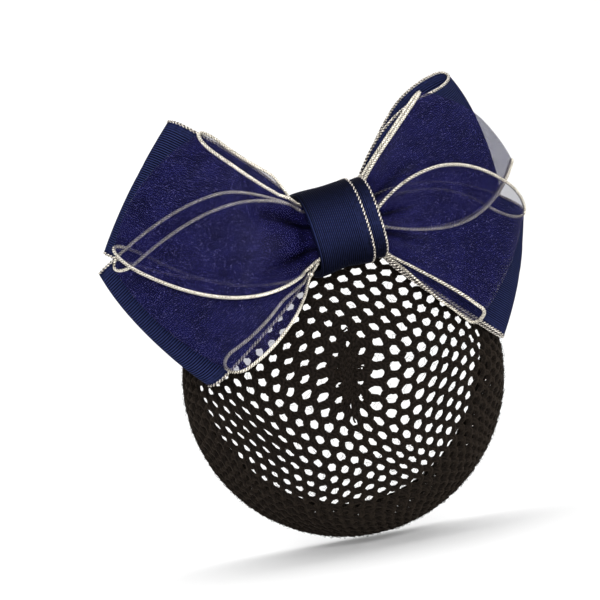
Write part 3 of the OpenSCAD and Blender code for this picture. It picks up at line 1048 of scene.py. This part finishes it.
@dataclass(frozen=True)
class CentreWrap:
    """The ribbed ribbon that is folded lengthwise and wound round the middle, its fold on the left.

    The crown is how far its front stands out, the flare is how much taller it is at its lower right corner,
    and the shades are its fold attribute, a painted shade that is least on the front and most at the top
    and bottom, where the band turns away from the light.
    """

    thickness: float = 0.7
    half_h: float = BOW.pinch_h + BOW.wrap_over
    crown: float = 2.7
    front_power: float = 0.76
    back_power: float = 0.34
    fold_r: float = 0.75
    fold_steps: int = 13
    slope: float = 1.6  # how soon the upper layer sinks onto the under one
    slack: float = 0.2  # what is left between them
    upper_short: float = 2.0
    flare: float = 0.15
    # painted shade of the band: where it starts, and its least and most
    shade_from: float = 0.1
    shade_least: float = 0.2
    shade_most: float = 0.92
    cord_out: float = 0.2
    flat_w: float = 50.0
    points_round: int = 220
    points_across: int = 36
    fineness: int = 8  # points worked out for each one that is kept

    def depths(self) -> Pair:
        """Works out where the wrap goes round the stack of ribbons and the clip's outer bar.

        Returns:
            Y of the inside of the wrap at its front and at its back.
        """
        stack = 2 * BOW.clearance + BOW.wall + (BOW.layers - 1) * BOW.layer_step
        knot_curve = float(BOW.back_curve(BOW.knot_half))
        front = -BOW.clip_depth - knot_curve - BOW.clearance - stack - BOW.clearance
        back = BOW.outer_bar + knot_curve + BOW.clearance - BOW.clip_depth
        return front, back

    def outline(self) -> tuple[np.ndarray, np.ndarray]:
        """The band's path round the middle, and the outward directions: a box with round corners. Its depth
        and its height are a cosine and a sine raised to a power under 1, which is nearer 1 in front, so that
        the front is crowned.

        Returns:
            Points [y, z] of the inside and unit vectors [y, z] away from it.
        """
        front, back = self.depths()
        front -= self.crown
        middle, half = (front + back) / 2, (back - front) / 2
        turn = full_turn(self.fineness * self.points_round)
        c, s = np.cos(turn), np.sin(turn)
        power = np.where(c < 0, self.front_power, self.back_power)
        y = middle + half * np.sign(c) * np.abs(c) ** power
        z = self.half_h * np.sign(s) * np.abs(s) ** power
        line = spaced(np.stack([y, z], axis=1), self.points_round)[0]
        along = headings(line)
        return line, np.stack([along[:, 1], -along[:, 0]], axis=1)

    def profile(self) -> tuple[np.ndarray, np.ndarray]:
        """The folded ribbon seen along its length, as [x, height over the inside], and the way across the
        cloth: the under layer, a half circle for the fold, and the upper layer, which sinks onto the under
        one.

        Returns:
            Points from the under edge round the fold to the upper edge, and millimetres across the ribbon.
        """
        left, right = -BOW.wrap_w / 2 + self.fold_r, BOW.wrap_w / 2
        low, high = self.thickness / 2, self.thickness / 2 + 2 * self.fold_r
        straight = np.linspace(0, 1, self.points_across)
        arc = np.radians(np.linspace(270, 90, self.fold_steps))[1:-1]
        sunk = mix(high, low + self.thickness + self.slack, smooth(straight * self.slope))
        under = np.stack([mix(right + BOW.wrap_ledge, left, straight), np.full(len(straight), low)], axis=1)
        bend_x, bend_height = left + self.fold_r * np.cos(arc), (low + high) / 2 + self.fold_r * np.sin(arc)
        bend = np.stack([bend_x, bend_height], axis=1)
        upper = np.stack([mix(left, right - self.upper_short, straight), sunk], axis=1)
        line = np.concatenate([under, bend, upper])
        across = np.concatenate([[0], np.cumsum(np.linalg.norm(np.diff(line, axis=0), axis=1))])
        return line, across * self.flat_w / across[-1]

    def placed(self, path: np.ndarray, out: np.ndarray, x: np.ndarray, height: np.ndarray) -> np.ndarray:
        """Points of the band: the path plus height times its outward direction, drawn down towards the lower
        right corner, then leant to the left.

        Args:
            path: Points [y, z] of the inside.
            out: Unit vectors [y, z] away from it.
            x: Places across the band.
            height: How far each stands off the inside.

        Returns:
            Points, path by x by 3.
        """
        place = path[:, None] + out[:, None] * height[None, :, None]
        points = np.concatenate([np.broadcast_to(x[None, :, None], place.shape[:2] + (1,)), place], axis=-1)
        rightward = np.clip(x / (BOW.wrap_w / 2 + BOW.wrap_ledge), 0, 1)
        points[..., 2] *= 1 + self.flare * rightward * smooth(-points[..., 2] / self.half_h)
        c, s = np.cos(BOW.wrap_lean), np.sin(BOW.wrap_lean)
        return points @ np.array([[c, 0, -s], [0, 1, 0], [s, 0, c]]).T

    def build(self) -> list[bpy.types.Object]:
        """Carries the profile round the outline, leans it and puts a cord along both edges.

        Returns:
            The wrap and its cords.
        """
        path, out = self.outline()
        line, across = self.profile()
        normal = unit(np.stack([-np.gradient(line[:, 1]), np.gradient(line[:, 0])], axis=1))
        half_wall = normal * self.thickness / 2
        wall = np.concatenate([line + half_wall, (line - half_wall)[::-1]])
        points = self.placed(path, out, wall[:, 0], wall[:, 1])
        along = lengths(path)
        uv = wall_uv(along, across)
        # painted shade: darker towards the top and bottom of the band, where it turns away from the light
        height = np.abs(path[:, 1]) / self.half_h
        turned_away = smooth((height - self.shade_from) / (1 - self.shade_from))
        shade = mix(self.shade_least, self.shade_most, turned_away)
        wrap = grid_surface(points[:, ::-1], uv[:, ::-1], True, True).piece(
            "wound_wrap", Finish.RIBBED, fold=np.broadcast_to(shade[:, None], points.shape[:2]))
        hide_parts("centre_wrap")
        cords = []
        for end, inside in ((0, 1), (-1, -2)):
            edge, beside = (self.placed(path, out, line[[k], 0], line[[k], 1])[:, 0] for k in (end, inside))
            above = self.placed(path, out, line[[end], 0], line[[end], 1] + 1)[:, 0]
            away = unit(edge - beside)
            cords.append(RIBBED_EDGE.around(edge + away * self.cord_out, away, unit(above - edge)))
        edges = cords[0].joined(cords[1]).piece("silver_gold_edges_wrap", Finish.SILVER_GOLD)
        return [wrap, edges]


@dataclass(frozen=True)
class Tangle:
    """Short loose curls of yarn at the net's gather.

    The scatter is how far they spread sideways and upwards, the bend and the waver are how much they turn,
    narrow is what is left of them sideways, proud, arch and uneven are how far they stand off the sheet, and
    the thickness is their radius as a share of the yarn's width.
    """

    count: int = 130
    scatter: Pair = (1.7, 3.6)
    bend: float = 2.4
    waver: float = 0.5
    length: float = 6.5
    narrow: float = 0.6
    proud: float = 1.5
    arch: float = 0.7
    uneven: float = 0.5
    thickness: float = 0.17
    points: int = 14


@dataclass(frozen=True)
class Fluff:
    """Loose fibres that stand off the net's yarn.

    The length range is the shortest and the longest as a share of the length, the bend is how much they
    turn, and proud and arch are how far they stand off the sheet.
    """

    count: int = 6000
    radius: float = 0.05
    length: float = 3.4
    length_range: Pair = (0.4, 1.3)
    bend: float = 1.4
    proud: float = 0.4
    arch: float = 1.1
    arch_turn: float = 2.4
    points: int = 5
    sides: int = 3


@dataclass(frozen=True)
class BunNet:
    """The knitted net: linked loops of yarn on a flat sheet, which is laid over the filled bag and drawn
    together at one place in front, with its fluff and the elastic cord of its mouth.

    A wale is an upright row of loops and a course is one loop's height. The mouth's angles run from the
    gather round the flattened ball, and the sheet's radius turns millimetres on the sheet into such angles.
    """

    radius: float = 52.5
    half_depth: float = 40.0
    centre: Place = (6.0, 26.0, -48.0)
    turn: float = np.radians(-12.0)
    mouth_top: float = np.radians(44.0)
    mouth_bottom: float = np.radians(118.0)
    sheet_r: float = 47.0
    wale: float = 4.1
    course: float = 4.5
    spare: tuple[int, int] = (2, 6)  # wales and courses past the sheet's reach, before it is cut to the hem
    segments: int = 14
    sides: int = 5
    corners: float = 6.0
    yarn_w: float = 2.0
    yarn_h: float = 1.3
    linked: float = 0.3
    uneven_place: float = 0.12
    uneven_size: float = 0.03
    uneven_height: float = 0.06
    uneven_yarn: float = 0.07
    uneven_turn: float = 0.4
    dense: float = 0.6
    dense_at: Pair = (-8.0, 12.0)
    dense_r: float = 19.0
    converge: float = 0.12
    converge_l: float = 20.0
    sway: float = 1.3
    sway_l: float = 40.0
    sway_skew: float = 0.3
    gather_w: float = 6.0
    gather_l: float = 9.0
    gather_in: float = 2.4
    gather_sideways: float = 0.8
    gather_upwards: float = 0.15
    bunched: float = 1.0
    rim_out: float = 2.3
    rim_gap: float = 0.3
    rim_steps: int = 240
    rim: Rope = Rope(strands=3, strand_r=0.62, lay_r=0.55, pitch=7.0, steps=14, sides=7)
    tangle: Tangle = Tangle()
    fibres: Fluff = Fluff()

    def mouth(self, turn: np.ndarray) -> np.ndarray:
        """The mouth's angle from the gather at each turn: it comes nearer towards the top, by a cube."""
        return mix(self.mouth_bottom, self.mouth_top, ((1 + np.sin(turn)) / 2) ** 3)

    def hem(self, turn: np.ndarray) -> np.ndarray:
        """The angle at which the net ends on its elastic cord."""
        return self.mouth(turn) + self.rim_out / self.radius

    def point(self, angle: np.ndarray, turn: np.ndarray, proud: Number) -> np.ndarray:
        """Points of a flattened ball about its gather: a sine of the angle sideways and upwards, and a
        cosine of it forwards, turned a little to the left.

        Args:
            angle: Angle from the gather.
            turn: Way round it, from the right over the top.
            proud: How far the point lies outside the middle of the yarn.

        Returns:
            Points in the part's frame.
        """
        across = (self.radius + proud) * np.sin(angle) * np.cos(turn)
        forward = (self.half_depth + proud) * np.cos(angle)
        upward = (self.radius + proud) * np.sin(angle) * np.sin(turn)
        c, s = np.cos(self.turn), np.sin(self.turn)
        x = self.centre[0] + across * c + forward * s
        y = self.centre[1] + across * s - forward * c
        return np.stack([x, y, self.centre[2] + upward], axis=-1)

    def gathered(self, u: np.ndarray, v: np.ndarray) -> np.ndarray:
        """A bell curve of height 1 about the gather, narrower sideways than upwards."""
        return np.exp(-((u / self.gather_w) ** 2) - (v / self.gather_l) ** 2)

    def drawn(self, u: np.ndarray, v: np.ndarray) -> tuple[np.ndarray, np.ndarray, np.ndarray]:
        """Moves points within the sheet. The upright rows draw together downwards by a hyperbolic tangent,
        the sheet sways a little by a sine each way, and at the gather it is drawn together.

        Args:
            u: To the right, in millimetres.
            v: Upwards, in millimetres.

        Returns:
            The moved u and v, and the bell curve.
        """
        skew_u, skew_v = self.sway_skew * np.sin(u / self.sway_l), self.sway_skew * np.cos(v / self.sway_l)
        lean_u = self.sway * np.sin(2 * np.pi * (v / self.sway_l + skew_u))
        lean_v = self.sway * np.sin(2 * np.pi * (u / self.sway_l + skew_v))
        u, v = u * (1 + self.converge * np.tanh(v / self.converge_l)) + lean_u, v + lean_v
        bell = self.gathered(u, v)
        return u * (1 - self.gather_sideways * bell), v * (1 - self.gather_upwards * bell), bell

    def laid(self, u: np.ndarray, v: np.ndarray, proud: Number) -> np.ndarray:
        """Lays points of the flat sheet on the bag: the way from the gather becomes an angle, up to the hem,
        and the gather dips in.

        Args:
            u: To the right, in millimetres.
            v: Upwards, in millimetres.
            proud: How far the point lies outside.

        Returns:
            Points in the part's frame.
        """
        u, v, bell = self.drawn(u, v)
        turn = np.arctan2(v, u)
        angle = np.minimum(np.hypot(u, v) / self.sheet_r, self.hem(turn))
        return self.point(angle, turn, proud - self.gather_in * bell)

    def stitches(self, rng: np.random.Generator) -> tuple[np.ndarray, np.ndarray]:
        """Middles of the sheet's loops that lie inside the hem: upright rows side by side, every other one
        raised by half a loop.

        Args:
            rng: Source of the small unevenness.

        Returns:
            Their u and v.
        """
        reach = self.mouth_bottom * self.sheet_r * (1 + 2 * self.converge)
        wales, courses = int(reach / self.wale) + self.spare[0], int(reach / self.course) + self.spare[1]
        k, i = np.arange(-wales, wales + 1), np.arange(-courses, courses + 1)
        u, v = np.meshgrid(k * self.wale, i * self.course, indexing="ij")
        v = v + (k % 2)[:, None] * self.course / 2
        u, v = (place + rng.normal(0, self.uneven_place, place.shape) for place in (u, v))
        moved_u, moved_v, _ = self.drawn(u, v)
        end = self.hem(np.arctan2(moved_v, moved_u)) - self.rim_gap * self.course / self.sheet_r
        inside = np.hypot(moved_u, moved_v) / self.sheet_r < end
        return u[inside], v[inside]

    def knitted(self, rng: np.random.Generator) -> Surface:
        """All loops: each is a rounded hexagon of yarn as big as its place, and stands higher on its right
        and top than on its left and bottom, so that neighbours lie over and under each other. The hexagon's
        radius is a power mean of its six straight sides. The yarn is bunched thicker above the gather and at
        it, by two bell curves.

        Args:
            rng: Source of the small unevenness.

        Returns:
            The loops in one surface.
        """
        u, v = self.stitches(rng)
        start = rng.uniform(0, self.uneven_turn, (len(u), 1))
        turn = full_turn(self.segments) + start
        slant = np.arctan2(self.course / 2, self.wale)
        half = np.hypot(self.wale, self.course / 2) / 2
        sides = ((np.pi / 2, self.course / 2), (slant, half), (-slant, half))
        powers = sum(np.abs(np.cos(turn - way) / reach) ** self.corners for way, reach in sides)
        size = powers ** (-1 / self.corners) * (1 + rng.normal(0, self.uneven_size, turn.shape))
        height = self.linked * np.sin(turn + np.pi / 4) + rng.normal(0, self.uneven_height, turn.shape)
        loop_u, loop_v = u[:, None] + size * np.cos(turn), v[:, None] + size * np.sin(turn)
        line = self.laid(loop_u, loop_v, height)
        up = unit(self.laid(loop_u, loop_v, height + 1) - line)
        along = headings(line, axis=1)
        side = unit(np.cross(along, up))
        away = np.hypot(loop_u - self.dense_at[0], loop_v - self.dense_at[1]) / self.dense_r
        thick = 1 + self.dense * np.exp(-(away**2)) + self.bunched * self.gathered(loop_u, loop_v)
        thick = thick + rng.normal(0, self.uneven_yarn, turn.shape)
        return tubes(line, side, np.cross(side, along), thick * self.yarn_w / 2, thick * self.yarn_h / 2,
                     self.sides, True)

    def tangled(self, rng: np.random.Generator) -> Surface:
        """The curls at the gather: each a wavering arc across it.

        Args:
            rng: Source of their places.

        Returns:
            The curls in one surface.
        """
        curl = self.tangle
        one_each = (curl.count, 1)
        t = np.linspace(0, 1, curl.points)
        place = rng.normal(0, 1, (curl.count, 2)) * curl.scatter
        start = rng.uniform(0, 2 * np.pi, one_each)
        bend = rng.normal(0, curl.bend, one_each)
        heading = start + bend * (t - 0.5) + curl.waver * np.sin(2 * np.pi * (2 * t + start))
        step = curl.length / len(t)
        u = place[:, :1] + np.cumsum(np.cos(heading), axis=1) * step * curl.narrow
        v = place[:, 1:] + np.cumsum(np.sin(heading), axis=1) * step
        height = curl.proud + curl.arch * np.sin(np.pi * t) + rng.normal(0, curl.uneven, one_each)
        return self.thread(u, v, height, self.yarn_w * curl.thickness, self.sides)

    def fluff(self, rng: np.random.Generator) -> Surface:
        """The loose fibres: each starts on a loop and curves away over the sheet.

        Args:
            rng: Source of their places.

        Returns:
            The fibres in one surface.
        """
        fibre = self.fibres
        one_each = (fibre.count, 1)
        u, v = self.stitches(rng)
        pick = rng.integers(0, len(u), fibre.count)
        turn = rng.uniform(0, 2 * np.pi, fibre.count)
        u, v = u[pick] + self.wale / 2 * np.cos(turn), v[pick] + self.course / 2 * np.sin(turn)
        t = np.linspace(0, 1, fibre.points)
        heading = rng.uniform(0, 2 * np.pi, one_each) + rng.normal(0, fibre.bend, one_each) * t
        step = fibre.length * rng.uniform(*fibre.length_range, one_each) / len(t)
        height = fibre.proud + rng.uniform(0, fibre.arch, one_each) * np.sin(fibre.arch_turn * t)
        u = u[:, None] + np.cumsum(np.cos(heading) * step, axis=1)
        v = v[:, None] + np.cumsum(np.sin(heading) * step, axis=1)
        return self.thread(u, v, height, fibre.radius, fibre.sides)

    def thread(self, u: np.ndarray, v: np.ndarray, height: np.ndarray, radius: float, sides: int) -> Surface:
        """Round threads over the sheet.

        Args:
            u: Threads by points, to the right.
            v: The same, upwards.
            height: The same, outwards.
            radius: Half the thread's width.
            sides: Corners of its section.

        Returns:
            The threads in one surface.
        """
        line = self.laid(u, v, height)
        up = unit(self.laid(u, v, height + 1) - line)
        along = unit(np.gradient(line, axis=1))
        side = unit(np.cross(along, up))
        size = np.full(line.shape[:2], radius)
        return tubes(line, side, np.cross(side, along), size, size, sides, False)

    def mouth_cord(self) -> Surface:
        """The elastic cord: a thick rope along the hem.

        Returns:
            The cord's surface.
        """
        turn = full_turn(self.rim_steps)
        angle = self.hem(turn)
        line = self.point(angle, turn, 0.0)
        out = unit(self.point(angle, turn, 1.0) - line)
        along = headings(line)
        return self.rim.around(line, out, unit(np.cross(along, out)))

    def build(self) -> list[bpy.types.Object]:
        """Makes the net, its fluff and the cord of its mouth.

        Returns:
            The three pieces.
        """
        rng = np.random.default_rng(SEED)
        net = self.knitted(rng).joined(self.tangled(rng)).piece("knitted_net", Finish.YARN)
        fluff = self.fluff(rng).piece("net_fluff", Finish.YARN)
        rim = self.mouth_cord().piece("elastic_mouth_cord", Finish.YARN)
        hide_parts("bun_net")
        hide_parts("net_rim")
        return [net, fluff, rim]


@dataclass(frozen=True)
class Clip:
    """The hidden clip, which keeps its solid."""

    node: str = "clip"

    def build(self) -> list[bpy.types.Object]:
        """Puts brushed steel on the clip's solid.

        Returns:
            The clip.
        """
        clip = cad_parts[self.node]
        for slot in clip.material_slots:
            slot.material = Finish.STEEL.material()
        return [clip]


@dataclass(frozen=True)
class Lamp:
    """A square lamp: its middle, the point that it faces and its side in metres, and its power."""

    name: str
    place: Place
    target: Place
    side: float
    watts: float

    def build(self) -> None:
        """Adds the lamp to the scene."""
        data = bpy.data.lights.new(self.name, "AREA")
        data.size = self.side
        data.energy = self.watts
        lamp = in_scene(self.name, data)
        lamp.location = self.place
        facing = Vector(self.place) - Vector(self.target)
        lamp.rotation_euler = facing.to_track_quat("Z", "Y").to_euler()


@dataclass(frozen=True)
class Sweep:
    """The pale floor under the part and the wall behind it, in metres, joined by a quarter circle."""

    floor_z: float = -0.104
    half_w: float = 6.0
    near: float = -6.0
    far: float = 2.5
    bend: float = 1.5
    top: float = 6.0
    steps: int = 24
    pale: str = "f0f0f0"

    def build(self) -> None:
        """Makes the floor and the wall as one sheet of matt studio paper, which the eye sees as plain."""
        arc = np.linspace(0, np.pi / 2, self.steps)
        flat_end = self.far - self.bend
        y = np.concatenate([[self.near, flat_end], flat_end + self.bend * np.sin(arc[1:]), [self.far]])
        z = np.concatenate([[0, 0], self.bend - self.bend * np.cos(arc[1:]), [self.top]]) + self.floor_z
        columns = [np.stack([np.full(len(y), x), y, z], axis=1) for x in (self.half_w, -self.half_w)]
        points = np.stack(columns, axis=1)
        surface = grid_surface(points, np.zeros(points.shape[:2] + (2,)), False, False)
        mesh = bpy.data.meshes.new("studio_floor")
        mesh.from_pydata(surface.points.tolist(), [], surface.faces.tolist())
        mesh.shade_smooth()
        material, _, _ = principled("pale studio paper", Base_Color=linear(self.pale), Roughness=0.9,
                                    Specular_IOR_Level=0.1)
        mesh.materials.append(material)
        floor = in_scene("studio_floor", mesh)


@dataclass(frozen=True)
class Studio:
    """A pale sweep, soft light and the camera at the photograph's angle."""

    azimuth: float = np.radians(-14.0)
    roll: float = np.radians(10.0)
    distance: float = 700.0
    mm_per_pixel: float = 0.31
    knot: Place = (0.0, -23.5, 0.0)
    knot_pixel: Pair = (339.0, 225.0)
    picture: float = 600.0
    sensor: float = 36.0
    clip_range: Pair = (0.01, 50.0)
    ambient: float = 0.24
    see_through: int = 32  # surfaces of organza that a ray may pass
    sweep: Sweep = Sweep()
    lamps: tuple[Lamp, ...] = (
        Lamp("key", place=(-0.3, -1.2, 0.2), target=(0, 0, -0.02), side=0.5, watts=24),
        Lamp("fill", place=(0.9, -0.8, 0.05), target=(0, 0, -0.03), side=0.8, watts=6),
        Lamp("backdrop", place=(0, 0.8, 1.8), target=(0, 2.5, 0.1), side=3.2, watts=56),
    )

    def camera(self) -> None:
        """Puts the camera level, to the left of the bow's middle and rolled, with the knot at its pixel."""
        a, r = self.azimuth, self.roll
        away = np.array([np.sin(a), -np.cos(a), 0])
        level = np.array([np.cos(a), np.sin(a), 0])
        upright = np.cross(away, level)
        right = level * np.cos(r) - upright * np.sin(r)
        up = level * np.sin(r) + upright * np.cos(r)
        shift = (self.picture / 2 - np.array(self.knot_pixel)) * self.mm_per_pixel
        place = (np.array(self.knot) + right * shift[0] - up * shift[1] + away * self.distance) * MM
        data = bpy.data.cameras.new("camera")
        data.sensor_width = self.sensor
        data.lens = self.sensor * self.distance / (self.picture * self.mm_per_pixel)
        data.clip_start, data.clip_end = self.clip_range
        camera = in_scene("camera", data)
        camera.matrix_world = Matrix([*np.column_stack([right, up, away, place]).tolist(), [0, 0, 0, 1]])
        bpy.context.scene.camera = camera

    def build(self) -> None:
        """Sets up camera, world, lamps and floor."""
        self.camera()
        scene = bpy.context.scene
        scene.view_settings.view_transform = "Standard"
        scene.cycles.transparent_max_bounces = self.see_through
        world = bpy.data.worlds.new("studio")
        world.use_nodes = True
        background = world.node_tree.nodes["Background"]
        background.inputs["Color"].default_value = linear("ffffff")
        background.inputs["Strength"].default_value = self.ambient
        scene.world = world
        for lamp in self.lamps:
            lamp.build()
        self.sweep.build()


def main() -> None:
    """Builds the looks round the frame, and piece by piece."""
    logging.basicConfig(level=logging.INFO, format="%(name)s: %(message)s")
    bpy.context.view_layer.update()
    Studio().build()
    for part in (Clip(), *RINGS, CentreWrap(), BunNet()):
        for piece in part.build():
            finish = piece.data.materials[0].name
            LOG.info("%s: %d faces, %s", piece.name, len(piece.data.polygons), finish)


if __name__ == "__main__":
    main()
